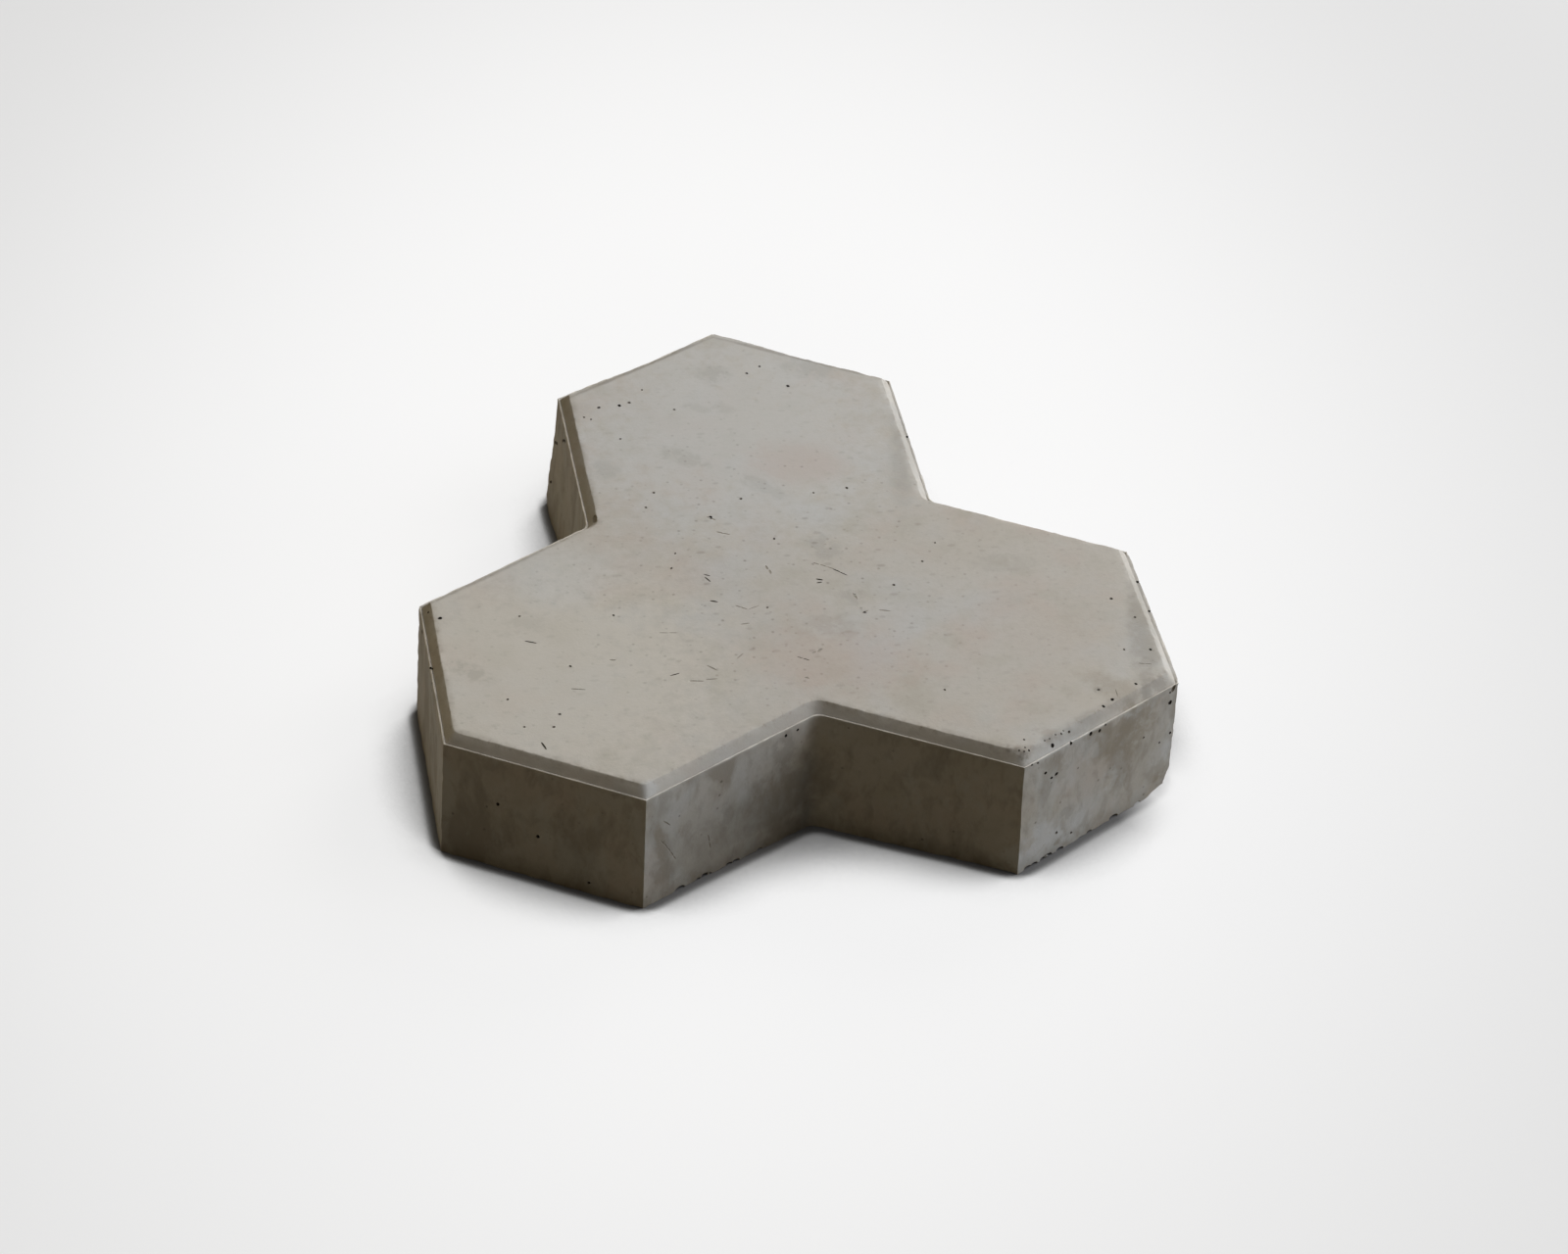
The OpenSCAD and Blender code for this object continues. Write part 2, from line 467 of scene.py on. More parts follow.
def divide_edges(shortest, longest, cuts):
    """Divides the edges of the stone whose lengths lie between two values."""
    starts, ends = edge_ends(stone.data)
    lengths = np.linalg.norm(starts - ends, axis=1)
    pick("EDGE", (lengths > shortest) & (lengths < longest))
    bpy.ops.mesh.subdivide(number_cuts=cuts)
    bpy.ops.object.mode_set(mode="OBJECT")


def divide_faces():
    """Divides the faces into a fine even grid to work wear into, and the bed into a coarser one."""
    # The level edges, the uprights, and the slopes of the chamfer
    divide_edges(LEDGE_Z * 1.2, HEX_FLATS, FACE_CUTS)
    divide_edges(LEDGE_Z - MM, LEDGE_Z + MM, SIDE_CUTS)
    divide_edges(CHAMFER_W, 2 * CHAMFER_W, CHAMFER_CUTS)
    centres = read(stone.data.polygons, "center")
    pick("FACE", (centres[:, 2] < BED_TOP) & (inside_outline(centres) > BED_BORDER))
    bpy.ops.mesh.decimate(ratio=BED_SHARE)
    bpy.ops.object.mode_set(mode="OBJECT")


def note_insets():
    """Notes at every vertex how far in from the outline it lies, before any corner is shifted."""
    insets = stone.data.attributes.new("edge_inset", "FLOAT", "POINT")
    insets.data.foreach_set("value", inside_outline(read(stone.data.vertices, "co")))


def flatten_lips():
    """Presses the lip nearly flat, and spreads the ledge outwards, along the sides that face +X."""
    for out, low, high, spread in FLAT_LIPS:
        x, y, z = read(stone.data.vertices, "co").T
        inner = out - DRAFT_IN - LEDGE_W
        along = (y > low + MITRE_GAP) & (y < high - MITRE_GAP)
        pick("VERT", along & (np.abs(z - LEDGE_Z) < LIP_BAND) & (x > inner - MERGE_STONE) & (x < out))
        bpy.ops.transform.resize(value=(spread, 1, FLAT_LIP_SHARE), center_override=(inner, 0, LEDGE_Z))
        bpy.ops.object.mode_set(mode="OBJECT")


def pull(chosen, shift, spread, falloff):
    """Moves chosen vertices of the stone, and those near them less and less."""
    pick("VERT", chosen)
    bpy.ops.transform.translate(
        value=shift, use_proportional_edit=True, proportional_edit_falloff=falloff,
        proportional_size=spread, use_proportional_connected=True)
    bpy.ops.object.mode_set(mode="OBJECT")


def ease_corners():
    """Rounds the inner corner of each notch, and sets some corners as the mould left them."""
    points = read(stone.data.vertices, "co")
    inside = inside_outline(points)
    uprights = {}
    for turn in NOTCH_TURNS:
        in_line = np.abs(points @ np.array(towards(turn + 90))) < SLACK
        uprights[turn] = in_line & (points @ np.array(towards(turn)) > 0) & (inside < FACE_IN + SLACK)
    for turn, reach in CORNERS.items():
        corner = np.array(towards(turn, reach).xy)
        uprights[turn] = np.linalg.norm(points[:, :2] - corner, axis=1) < SLACK + 2 * DRAFT_IN
    parts = {"whole": True, "foot": points[:, 2] < MM}
    for turn, reach in NOTCH_ROUNDS.items():
        pull(uprights[turn], towards(turn, reach * NOTCH_PULL), reach, "SHARP")
    for turn, part, shift, spread, falloff in CORNER_SHIFTS:
        pull(uprights[turn] & parts[part], Vector(shift) * MM, spread * MM, falloff)


def wear_mitres():
    """Rubs the upper corners of the chamfer round, where it is knocked most."""
    for pixel, reach, times in WORN_MITRES:
        place, _ = on_stone(pixel)
        points = read(stone.data.vertices, "co")
        near = np.linalg.norm(points - np.array(place), axis=1) < reach * MM
        pick("VERT", near & (points[:, 2] > LEDGE_Z + WORN_ABOVE_LEDGE))
        bpy.ops.mesh.vertices_smooth(factor=SMOOTHING, repeat=times)
        bpy.ops.object.mode_set(mode="OBJECT")


def roughen(name, lump, height, level, shares):
    """Works a cloudy relief into the stone, where its vertices have a share in it."""
    group = stone.vertex_groups.new(name=name)
    for step in range(1, SHARE_STEPS + 1):
        chosen = np.flatnonzero(np.round(shares * SHARE_STEPS) == step)
        group.add(chosen.tolist(), step / SHARE_STEPS, "REPLACE")
    clouds = bpy.data.textures.new(name, "CLOUDS")
    clouds.noise_scale = lump
    clouds.noise_depth = 2
    relief = stone.modifiers.new(name, "DISPLACE")
    relief.texture = clouds
    relief.texture_coords = "LOCAL"
    relief.vertex_group = name
    relief.strength = height
    relief.mid_level = level
    bpy.context.view_layer.objects.active = stone
    bpy.ops.object.modifier_apply(modifier=name)
    stone.vertex_groups.clear()


def fade(values, whole, none):
    """A share that is 1 at one value and falls evenly to 0 at another."""
    return np.clip((none - values) / (none - whole), 0, 1)


def wear_stone():
    """Gives the cast faces their slight unevenness, and wears the rim, the lip, the corners and the foot."""
    points = read(stone.data.vertices, "co")
    inside = read(stone.data.attributes["edge_inset"].data, "value", 1)[:, 0]
    z = points[:, 2]
    uprights = [np.array(towards(turn, reach).xy) for turn, reach in CORNERS.items()]
    corner_gap = np.min([np.linalg.norm(points[:, :2] - upright, axis=1) for upright in uprights], axis=0)
    on_ledge = fade(inside, DRAFT_IN + 0.5 * MM, DRAFT_IN + 1.0 * MM)
    shares = {
        "whole": np.ones(len(z)),
        "rim": fade(np.abs(inside - FACE_IN), 0.4 * MM, 1.8 * MM) * fade(THICKNESS - z, 1 * MM, 2.4 * MM),
        "lip": fade(np.abs(z - LEDGE_Z), 0.3 * MM, 1.2 * MM) * on_ledge,
        "foot": fade(z, 0.2 * MM, 3 * MM) * fade(inside, 1.2 * MM, 3 * MM),
        "bed": fade(z, 0.1 * MM, 0.5 * MM) * fade(-inside, -8 * MM, -2 * MM),
        "corners": fade(corner_gap, 2 * MM, 6 * MM) * (z < LEDGE_Z),
    }
    for name, lump, height, level, part in RELIEFS:
        roughen(name, lump, height, level, shares[part])
    points = read(stone.data.vertices, "co")
    points = np.clip(points, np.array(stone_low), np.array(stone_high))
    stone.data.vertices.foreach_set("co", points.ravel())
    stone.data.update()


def make_bubble():
    """The points and faces of one uneven bubble, from which every hollow is cut."""
    bpy.ops.object.select_all(action="DESELECT")
    bpy.ops.mesh.primitive_ico_sphere_add(subdivisions=2, radius=1)
    bubble = bpy.context.object
    bpy.ops.object.mode_set(mode="EDIT")
    bpy.ops.transform.vertex_random(offset=BUBBLE_UNEVENNESS, seed=BUBBLE_SEED)
    bpy.ops.object.mode_set(mode="OBJECT")
    points = read(bubble.data.vertices, "co")
    faces = read(bubble.data.polygons, "vertices", 3).astype(int)
    bpy.data.objects.remove(bubble)
    return points, faces


def hollow(place, facing, long_way, length, width, depth, finish):
    """Where a bubble goes to cut one hollow: its centre, how it lies, its three half sizes and its finish."""
    across = facing.cross(long_way).normalized()
    along = across.cross(facing).normalized()
    tumble = np.array(Matrix.Rotation(chance.uniform(0, math.tau), 3, along))
    sizes = np.array((along * length / 2, across * width / 2, facing * depth))
    return np.array(place), tumble, sizes, finish


def any_way(facing):
    """A direction in a face that points any way."""
    way = facing.orthogonal()
    way.rotate(Matrix.Rotation(chance.uniform(0, math.tau), 3, facing))
    return way


def pore(place, facing, size, finish):
    """A hollow that an air bubble left."""
    return hollow(place, facing, any_way(facing), size * PORE_LENGTH, size, size * PORE_DEPTH, finish)


def seen_pores():
    """The pores that show in the photograph, where the camera sees them on the stone."""
    found = []
    for pixels, mean, finish in PORES:
        for pixel in pixels:
            place, facing = on_stone(pixel)
            found.append(pore(place, facing, mean * chance.uniform(*PORE_SPREAD), finish))
    return found


def seen_nicks():
    """The nicks and scuffs that show in the photograph, each cut as a row of strokes."""
    found = []
    for nicks, depth, finish in NICKS:
        for first, last, width in nicks:
            (start, facing), (end, _) = on_stone(first), on_stone(last)
            long_way = end - start
            across = facing.cross(long_way).normalized()
            strokes = max(1, round(long_way.length / STROKE))
            for number in range(strokes):
                aside = across * chance.uniform(-STROKE_ASIDE, STROKE_ASIDE) * width * MM
                middle = start + long_way * (number + 0.5) / strokes + aside
                length = long_way.length / strokes * chance.uniform(*STROKE_LENGTHS)
                breadth = width * chance.uniform(*STROKE_WIDTHS) * MM
                found.append(hollow(middle, facing, long_way, length, breadth, depth, finish))
    return found


def seen_breaks():
    """The chips off the edges and the bits broken out of the foot, where the photograph shows them."""
    found = []
    for pixel, (length, width, depth) in CHIPS:
        place, facing = on_stone(pixel)
        found.append(hollow(place, facing, any_way(facing), length * MM, width * MM, depth * MM, RUB))
    for pixel in FOOT_BREAKS:
        place, facing = on_stone(pixel)
        place.z = FOOT_BREAK_Z
        level = Vector((0, 0, 1)).cross(facing)
        size = chance.uniform(*FOOT_BREAK_SIZES) * MM
        found.append(hollow(
            place, facing, level, size * FOOT_BREAK_LENGTH, size, size * FOOT_BREAK_DEPTH, SCUFF))
    return found


def unseen_pores():
    """Pores like those in view, scattered over the sides that face away from the camera and over the bed."""
    found = []
    centres = read(stone.data.polygons, "center")
    facings = read(stone.data.polygons, "normal")
    sides = (facings @ np.array(view_back) < SIGHT_LIMIT) & (facings[:, 2] > SIDE_LIMIT)
    bed = facings[:, 2] < BED_LIMIT
    for chosen, count in ((sides, UNSEEN_SIDE_PORES), (bed, BED_PORES)):
        chosen = np.flatnonzero(chosen)
        for _ in range(count):
            index = chance.choice(chosen)
            size = chance.uniform(*UNSEEN_SIZES) * MM
            finish = chance.choice((PASTE_AND_SHADE, SCUFF))
            found.append(pore(Vector(centres[index]), Vector(facings[index]), size, finish))
    return found


def cut_hollows(hollows):
    """Cuts all the hollows out of the stone at once. The wall of each has the finish of its kind."""
    bubble, faces = make_bubble()
    points = [place + (bubble @ tumble) @ sizes for place, tumble, sizes, _ in hollows]
    triangles = [faces + len(bubble) * number for number in range(len(hollows))]
    mesh = bpy.data.meshes.new("bubbles")
    mesh.from_pydata(np.vstack(points).tolist(), [], np.vstack(triangles).tolist())
    for material in stone.data.materials:
        mesh.materials.append(material)
    finishes = np.repeat([finish for *_, finish in hollows], len(faces))
    mesh.polygons.foreach_set("material_index", finishes)
    bubbles = bpy.data.objects.new("bubbles", mesh)
    bpy.context.scene.collection.objects.link(bubbles)
    cut = stone.modifiers.new("hollows", "BOOLEAN")
    cut.object = bubbles
    cut.operation = "DIFFERENCE"
    cut.solver = "MANIFOLD"
    bpy.context.view_layer.objects.active = stone
    bpy.ops.object.modifier_apply(modifier="hollows")
    bpy.data.objects.remove(bubbles)


def note_new_insets():
    """Notes the insets of the vertices that the cuts added, which have none yet."""
    insets = stone.data.attributes["edge_inset"].data
    noted = read(insets, "value", 1)[:, 0]
    insets.foreach_set("value", np.where(noted == 0, inside_outline(read(stone.data.vertices, "co")), noted))


def shade_stone():
    """Shades the stone smooth, apart from its edges."""
    bpy.ops.object.select_all(action="DESELECT")
    stone.select_set(True)
    bpy.context.view_layer.objects.active = stone
    bpy.ops.object.shade_smooth_by_angle(angle=SHARP_ANGLE)


def colour(code):
    """Linear colour of an sRGB hex value."""
    shares = [int(code[start:start + 2], 16) / 255 for start in (1, 3, 5)]
    return [s / 12.92 if s <= 0.04045 else ((s + 0.055) / 1.055) ** 2.4 for s in shares] + [1.0]


def add(tree, kind, inputs=None, **settings):
    """Adds a node with its settings, and sets or links its inputs."""
    node = tree.nodes.new("ShaderNode" + kind)
    for name, value in settings.items():
        setattr(node, name, value)
    for name, value in (inputs or {}).items():
        if isinstance(value, bpy.types.NodeSocket):
            tree.links.new(value, node.inputs[name])
        else:
            node.inputs[name].default_value = value
    return node


def drying_clouds(tree, place):
    """The skin's own colour, cloudy where it dried unevenly."""
    # Broad clouds 70 mm across turn the skin from beige to blue-grey
    broad = add(tree, "TexNoise", {"Vector": place, "W": 1.3, "Scale": 1 / (70 * MM), "Detail": 3},
                noise_dimensions="4D")
    broad = add(tree, "MapRange", {"Value": broad.outputs[0], "From Min": 0.38, "From Max": 0.62})
    skin = add(tree, "Mix", {FACTOR: broad.outputs[0], FIRST: colour("#ABA69D"), SECOND: colour("#ADAAA4")},
               data_type="RGBA").outputs[RESULT]

    # Patches of 15 to 32 mm are faintly pink, olive and blue-grey
    for seed, size, tint, most in PATCHES:
        patch = add(tree, "TexNoise", {"Vector": place, "W": seed, "Scale": 1 / (size * MM), "Detail": 3},
                    noise_dimensions="4D")
        patch = add(tree, "MapRange", {
            "Value": patch.outputs[0], "From Min": 0.5, "From Max": 0.68, "To Max": most})
        skin = add(tree, "Mix", {FACTOR: patch.outputs[0], FIRST: skin, SECOND: colour(tint)},
                   data_type="RGBA").outputs[RESULT]

    # Fine dust 3 mm across
    dust = add(tree, "TexNoise", {"Vector": place, "Scale": 1 / (3 * MM), "Detail": 4, "Roughness": 0.65})
    dust = add(tree, "MapRange", {
        "Value": dust.outputs[0], "From Min": 0.45, "From Max": 0.75, "To Max": 0.2})
    return add(tree, "Mix", {FACTOR: dust.outputs[0], FIRST: skin, SECOND: colour("#8D887E")},
               data_type="RGBA").outputs[RESULT]


def mould_marks(tree, place, height, skin):
    """What the mould left on the sides: tall blotches and dark flecks."""
    side = add(tree, "MapRange", {
        "Value": height, "From Min": LEDGE_Z - 0.2 * MM, "From Max": LEDGE_Z - 0.8 * MM})

    # Blotches up to 16 mm wide and twice as tall run up the mould, cool and pale or warm and dark
    upright = add(tree, "Mapping", {"Vector": place, "Scale": (1, 1, 0.5)}).outputs[0]
    for seed, size, tint, most in BLOTCHES:
        blotch = add(tree, "TexNoise", {
            "Vector": upright, "W": seed, "Scale": 1 / (size * MM), "Detail": 7, "Roughness": 0.58,
            "Distortion": 0.4}, noise_dimensions="4D")
        blotch = add(tree, "MapRange", {
            "Value": blotch.outputs[0], "From Min": 0.51, "From Max": 0.62, "To Max": most})
        blotch = add(tree, "Math", {0: blotch.outputs[0], 1: side.outputs[0]}, operation="MULTIPLY")
        skin = add(tree, "Mix", {FACTOR: blotch.outputs[0], FIRST: skin, SECOND: colour(tint)},
                   data_type="RGBA").outputs[RESULT]

    # Dark flecks a millimetre across, one to every 6 mm
    flecks = add(tree, "TexVoronoi", {"Vector": place, "Scale": 1 / (6 * MM)})
    picked = add(tree, "SeparateColor", {"Color": flecks.outputs["Color"]}).outputs[0]
    picked = add(tree, "MapRange", {"Value": picked, "From Min": 0.35, "From Max": 1.0, "To Max": 0.75})
    flecks = add(tree, "MapRange", {
        "Value": flecks.outputs["Distance"], "From Min": 0.13, "From Max": 0.06})
    flecks = add(tree, "Math", {0: flecks.outputs[0], 1: picked.outputs[0]}, operation="MULTIPLY")
    flecks = add(tree, "Math", {0: flecks.outputs[0], 1: side.outputs[0]}, operation="MULTIPLY")
    return add(tree, "Mix", {FACTOR: flecks.outputs[0], FIRST: skin, SECOND: colour("#4A453C")},
               data_type="RGBA").outputs[RESULT]


def stains_and_painted_shade(tree, place, cloud, skin):
    """Stains where the photograph shows them, and a few patches of painted shade, each a soft ellipsoid with
    a cloudy or a ragged edge.
    """
    ragged = add(tree, "MapRange", {"Value": cloud.outputs[0], "From Min": 0.32, "From Max": 0.68})
    for pixel, sizes, turn, tint, share in STAINS_AND_PAINTED_SHADE:
        middle, _ = on_stone(pixel)
        within = add(tree, "Mapping", {
            "Vector": place, "Location": middle, "Rotation": (0, 0, VIEW_AZIMUTH + math.radians(turn)),
            "Scale": [size * MM * STAIN_REACH for size in sizes]}, vector_type="TEXTURE").outputs[0]
        within = add(tree, "TexGradient", {"Vector": within}, gradient_type="SPHERICAL")
        edge = cloud if max(sizes) > BROAD_STAIN else ragged
        within = add(tree, "Math", {0: within.outputs[1], 1: edge.outputs[0]}, operation="MULTIPLY")
        within = add(tree, "MapRange", {
            "Value": within.outputs[0], "From Min": 0.1, "From Max": 0.38, "To Max": share},
            interpolation_type="SMOOTHSTEP")
        skin = add(tree, "Mix", {FACTOR: within.outputs[0], FIRST: skin, SECOND: colour(tint)},
                   data_type="RGBA").outputs[RESULT]
    return skin


def rub_marks(tree, place, inset, skin):
    """Faint dots and dashes on the face, thickest in the middle, where feet and stacked stones rub it."""
    face = add(tree, "MapRange", {"Value": inset, "From Min": FACE_IN, "From Max": FACE_IN + MM})
    rubbed = add(tree, "VectorMath", {0: place}, operation="LENGTH")
    rubbed = add(tree, "MapRange", {
        "Value": rubbed.outputs["Value"], "From Min": 65 * MM, "From Max": 125 * MM, "To Min": 1.0,
        "To Max": 0.35})
    rubbed = add(tree, "Math", {0: rubbed.outputs[0], 1: face.outputs[0]}, operation="MULTIPLY")
    for turn, shape, size, most in RUB_MARKS:
        marks = add(tree, "Mapping", {
            "Vector": place, "Rotation": (0, 0, -VIEW_AZIMUTH - math.radians(turn)),
            "Scale": shape}).outputs[0]
        marks = add(tree, "TexVoronoi", {"Vector": marks, "Scale": 1 / (size * MM)}, voronoi_dimensions="2D")
        picked = add(tree, "SeparateColor", {"Color": marks.outputs["Color"]}).outputs[0]
        picked = add(tree, "MapRange", {"Value": picked, "From Min": 0.5, "From Max": 1.0, "To Max": most})
        marks = add(tree, "MapRange", {
            "Value": marks.outputs["Distance"], "From Min": 0.12, "From Max": 0.05})
        marks = add(tree, "Math", {0: marks.outputs[0], 1: picked.outputs[0]}, operation="MULTIPLY")
        marks = add(tree, "Math", {0: marks.outputs[0], 1: rubbed.outputs[0]}, operation="MULTIPLY")
        skin = add(tree, "Mix", {FACTOR: marks.outputs[0], FIRST: skin, SECOND: colour("#5F5A50")},
                   data_type="RGBA").outputs[RESULT]
    return skin


def rim_scuffs_and_painted_light(tree, place, height, inset, cloud, skin):
    """Brown scuffs along the rim of the face, a paler lip that is partly a painted highlight, and painted
    contact shade at the foot of the sides.
    """
    # Scuffs 2 mm across
    rim = add(tree, "MapRange", {
        "Value": inset, "From Min": FACE_IN - 1.6 * MM, "From Max": FACE_IN - 0.2 * MM})
    off_rim = add(tree, "MapRange", {"Value": inset, "From Min": FACE_IN + 2.5 * MM, "From Max": FACE_IN})
    rim = add(tree, "Math", {0: rim.outputs[0], 1: off_rim.outputs[0]}, operation="MULTIPLY")
    scuff = add(tree, "TexNoise", {
        "Vector": place, "W": 8.4, "Scale": 1 / (2 * MM), "Detail": 3, "Roughness": 0.6},
        noise_dimensions="4D")
    scuff = add(tree, "MapRange", {
        "Value": scuff.outputs[0], "From Min": 0.52, "From Max": 0.66, "To Max": 0.35})
    scuff = add(tree, "Math", {0: scuff.outputs[0], 1: rim.outputs[0]}, operation="MULTIPLY")
    skin = add(tree, "Mix", {FACTOR: scuff.outputs[0], FIRST: skin, SECOND: colour(BROWN)},
               data_type="RGBA").outputs[RESULT]

    # The lip is painted paler, in patches: partly its finer cement, partly a painted highlight along the
    # ledge
    lip = add(tree, "MapRange", {
        "Value": height, "From Min": LEDGE_Z - 0.1 * MM, "From Max": LEDGE_Z + 0.15 * MM, "To Max": 0.85})
    on_lip = add(tree, "MapRange", {
        "Value": inset, "From Min": DRAFT_IN + 1.1 * MM, "From Max": DRAFT_IN + 0.8 * MM})
    lip = add(tree, "Math", {0: lip.outputs[0], 1: on_lip.outputs[0]}, operation="MULTIPLY")
    patchy = add(tree, "MapRange", {
        "Value": cloud.outputs[0], "From Min": 0.38, "From Max": 0.6, "To Min": 0.35})
    lip = add(tree, "Math", {0: lip.outputs[0], 1: patchy.outputs[0]}, operation="MULTIPLY")
    skin = add(tree, "Mix", {FACTOR: lip.outputs[0], FIRST: skin, SECOND: colour("#D2CEC4")},
               data_type="RGBA").outputs[RESULT]

    # Painted contact shade at the foot of the sides, in clouds 7 mm across, darkest at the bed and gone 9 mm
    # above it
    foot = add(tree, "MapRange", {"Value": height, "From Min": 9 * MM, "From Max": 0.0, "To Max": 0.8})
    painted_foot_shade = add(tree, "TexNoise", {"Vector": place, "W": 6.1, "Scale": 1 / (7 * MM), "Detail": 4},
               noise_dimensions="4D")
    painted_foot_shade = add(tree, "Math", {0: painted_foot_shade.outputs[0], 1: foot.outputs[0]}, operation="MULTIPLY")
    return add(tree, "Mix", {FACTOR: painted_foot_shade.outputs[0], FIRST: skin, SECOND: colour("#6B6455")},
               data_type="RGBA").outputs[RESULT]


def wet_cast_concrete():
    """Wet-cast concrete: a matt cement skin from a smooth mould, cloudy, stained and worn, with fine sand,
    with painted shade at the foot and in the front notch, a painted shadow line along the back rims and a
    partly painted highlight on the lip.
    """
    material = bpy.data.materials.new("wet_cast_concrete")
    material.use_nodes = True
    tree = material.node_tree
    tree.nodes.clear()
    place = add(tree, "TexCoord").outputs["Object"]
    height = add(tree, "SeparateXYZ", {"Vector": place}).outputs["Z"]
    inset = add(tree, "Attribute", attribute_name="edge_inset").outputs["Fac"]
    # Clouds 6 mm across break up the edges of the stains and the lip
    cloud = add(tree, "TexNoise", {
        "Vector": place, "W": 3.3, "Scale": 1 / (6 * MM), "Detail": 4, "Roughness": 0.6},
        noise_dimensions="4D")
    skin = drying_clouds(tree, place)
    skin = mould_marks(tree, place, height, skin)
    skin = stains_and_painted_shade(tree, place, cloud, skin)
    skin = rub_marks(tree, place, inset, skin)
    skin = rim_scuffs_and_painted_light(tree, place, height, inset, cloud, skin)
    # Sand is finer than this, and is drawn 1.1 mm coarse so that it shows
    grain = add(tree, "TexNoise", {
        "Vector": place, "Scale": 1 / (1.1 * MM), "Detail": 3, "Roughness": 0.6})
    bump = add(tree, "Bump", {"Height": grain.outputs[0], "Strength": 0.5, "Distance": 0.12 * MM})
    shader = add(tree, "BsdfPrincipled", {
        "Base Color": skin, "Roughness": 0.82, "IOR": 1.5, "Normal": bump.outputs[0]})
    add(tree, "OutputMaterial", {"Surface": shader.outputs[0]})
    return material


def bare_concrete(name, dark, light):
    """Concrete under the skin, in pores, nicks and chips: rough, and darkened by damp dust; in pores and
    nicks its dark shades are partly painted shade inside the hollow.
    """
    material = bpy.data.materials.new(name)
    material.use_nodes = True
    tree = material.node_tree
    tree.nodes.clear()
    place = add(tree, "TexCoord").outputs["Object"]
    dust = add(tree, "TexNoise", {"Vector": place, "Scale": 1 / (1.5 * MM), "Detail": 2})
    paste = add(tree, "Mix", {FACTOR: dust.outputs[0], FIRST: colour(dark), SECOND: colour(light)},
                data_type="RGBA").outputs[RESULT]
    shader = add(tree, "BsdfPrincipled", {"Base Color": paste, "Roughness": 0.95, "IOR": 1.5})
    add(tree, "OutputMaterial", {"Surface": shader.outputs[0]})
    return material


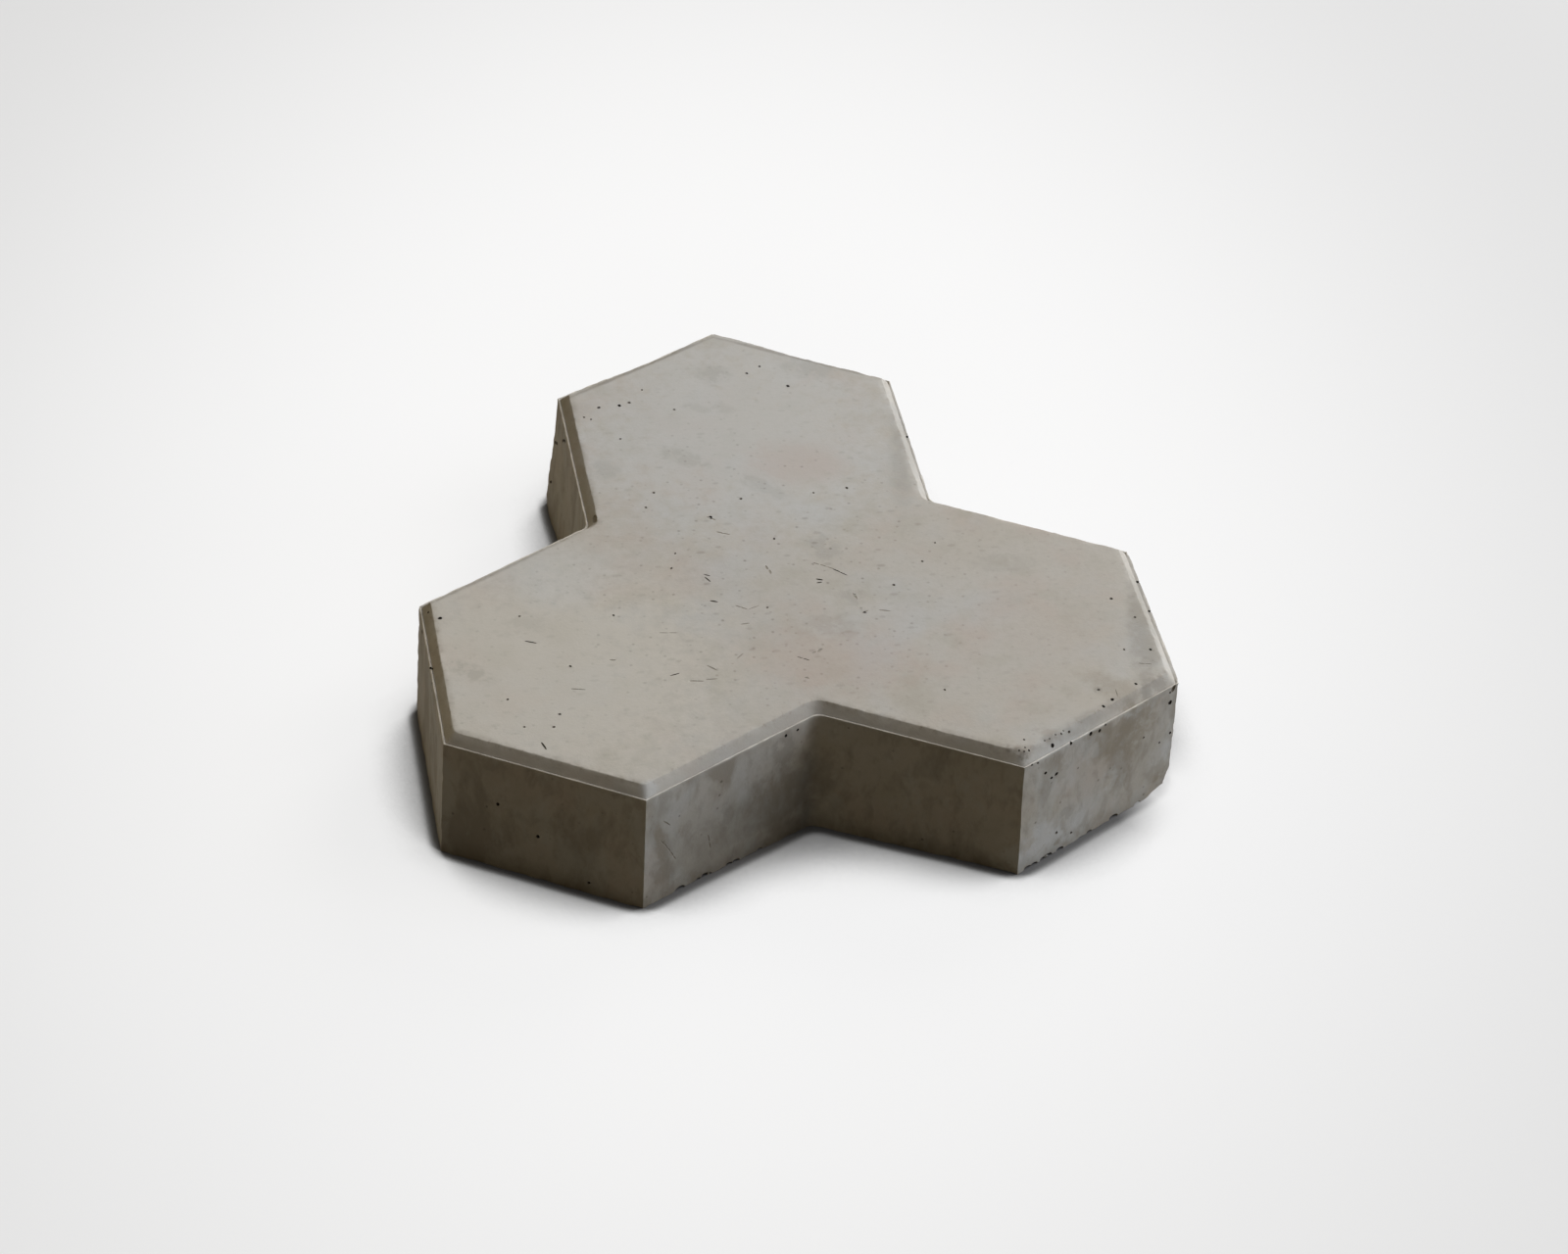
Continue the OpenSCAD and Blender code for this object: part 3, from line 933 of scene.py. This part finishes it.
def studio_floor():
    """A pale floor: white to the camera, with the stone's shadow, and dull in the light it throws back."""
    bpy.ops.object.select_all(action="DESELECT")
    bpy.ops.mesh.primitive_plane_add(size=FLOOR_SIZE, location=(0, 0, -FLOOR_DROP))
    floor = bpy.context.object
    floor.name = "studio_floor"
    material = bpy.data.materials.new("studio_floor")
    material.use_nodes = True
    tree = material.node_tree
    tree.nodes.clear()
    place = add(tree, "TexCoord").outputs["Object"]

    # The white falls off towards the edges of the picture
    around = add(tree, "Mapping", {
        "Vector": place, "Location": GLOW_CENTRE, "Rotation": (0, 0, VIEW_AZIMUTH), "Scale": GLOW_REACH},
        vector_type="TEXTURE")
    around = add(tree, "VectorMath", {0: around.outputs[0]}, operation="LENGTH")
    white = add(tree, "MapRange", {
        "Value": around.outputs["Value"], "From Min": 0.4, "From Max": 1.6, "To Min": 0.955, "To Max": 0.72},
        interpolation_type="SMOOTHSTEP")
    open_glow = add(tree, "Emission", {"Color": (1, 1, 1, 1), "Strength": white.outputs[0]})

    # Shade under the foot, looked for only near the stone
    from_corner = add(tree, "VectorMath", {0: place, 1: LIGHT_CORNER}, operation="DISTANCE")
    for reach, low, high, darkest in CONTACT_SHADES:
        least = add(tree, "MapRange", {
            "Value": from_corner.outputs["Value"], "From Min": LIGHT_REACH[0], "From Max": LIGHT_REACH[1],
            "To Min": LIGHT_LEAST, "To Max": darkest})
        contact = add(tree, "AmbientOcclusion", {"Distance": reach}, samples=CONTACT_SAMPLES)
        contact = add(tree, "MapRange", {
            "Value": contact.outputs["AO"], "From Min": low, "From Max": high, "To Min": least.outputs[0]})
        white = add(tree, "Math", {0: white.outputs[0], 1: contact.outputs[0]}, operation="MULTIPLY")
    shaded_glow = add(tree, "Emission", {"Color": (1, 1, 1, 1), "Strength": white.outputs[0]})
    near = add(tree, "VectorMath", {0: place}, operation="LENGTH")
    near = add(tree, "Math", {0: near.outputs["Value"], 1: SHADED}, operation="LESS_THAN")
    glow = add(tree, "MixShader", {0: near.outputs[0], 1: open_glow.outputs[0], 2: shaded_glow.outputs[0]})

    # Seen directly it is white and partly lit, and otherwise dull
    lit = add(tree, "BsdfDiffuse", {"Color": colour("#F2F2F2")})
    seen = add(tree, "MixShader", {0: FLOOR_LIT, 1: glow.outputs[0], 2: lit.outputs[0]})
    dull = add(tree, "BsdfDiffuse", {"Color": colour("#7E735F")})
    path = add(tree, "LightPath").outputs
    direct = add(tree, "Math", {0: path["Is Camera Ray"], 1: path["Is Glossy Ray"]}, operation="MAXIMUM")
    direct = add(tree, "Math", {0: direct.outputs[0], 1: path["Is Transmission Ray"]}, operation="MAXIMUM")
    both = add(tree, "MixShader", {0: direct.outputs[0], 1: dull.outputs[0], 2: seen.outputs[0]})
    add(tree, "OutputMaterial", {"Surface": both.outputs[0]})
    floor.data.materials.append(material)


def light_studio():
    """Broad light from the right, a little from overhead, weak warm light from the left, and a dim room."""
    for name, turn, rise, light in LAMPS:
        lamp = bpy.data.lights.new(name, "AREA")
        lamp.shape = "DISK"
        lamp.size = LAMP_SIZE
        lamp.energy = max(light) * (math.pi * LAMP_DISTANCE) ** 2
        lamp.color = [part / max(light) for part in light]
        fitting = bpy.data.objects.new(name, lamp)
        bpy.context.scene.collection.objects.link(fitting)
        out = towards(turn, math.cos(math.radians(rise))) + Vector((0, 0, math.sin(math.radians(rise))))
        fitting.location = AIM + out * LAMP_DISTANCE
        fitting.rotation_euler = out.to_track_quat("Z", "Y").to_euler()
    world = bpy.data.worlds.new("room")
    bpy.context.scene.world = world
    world.use_nodes = True
    tree = world.node_tree
    tree.nodes.clear()
    pale = add(tree, "Background", {"Color": colour("#F3F3F3"), "Strength": 1.0})
    dim = add(tree, "Background", {"Color": colour("#FFEBCB"), "Strength": ROOM_LIGHT})
    path = add(tree, "LightPath")
    both = add(tree, "MixShader", {0: path.outputs["Is Camera Ray"], 1: dim.outputs[0], 2: pale.outputs[0]})
    add(tree, "OutputWorld", {"Surface": both.outputs[0]})


chance = random.Random(SEED)
bpy.context.scene.view_settings.view_transform = "Standard"
set_camera()
stone = lay_out_plan()
raise_stone()
divide_faces()
note_insets()
flatten_lips()
ease_corners()
wear_mitres()
wear_stone()
stone.data.materials.append(wet_cast_concrete())
for finish_name, dark_shade, light_shade in BARE_FINISHES:
    stone.data.materials.append(bare_concrete(finish_name, dark_shade, light_shade))
cut_hollows(seen_pores() + seen_nicks() + seen_breaks() + unseen_pores())
shade_stone()
note_new_insets()

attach(stone, "root")
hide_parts("paving_stone")
studio_floor()
light_studio()
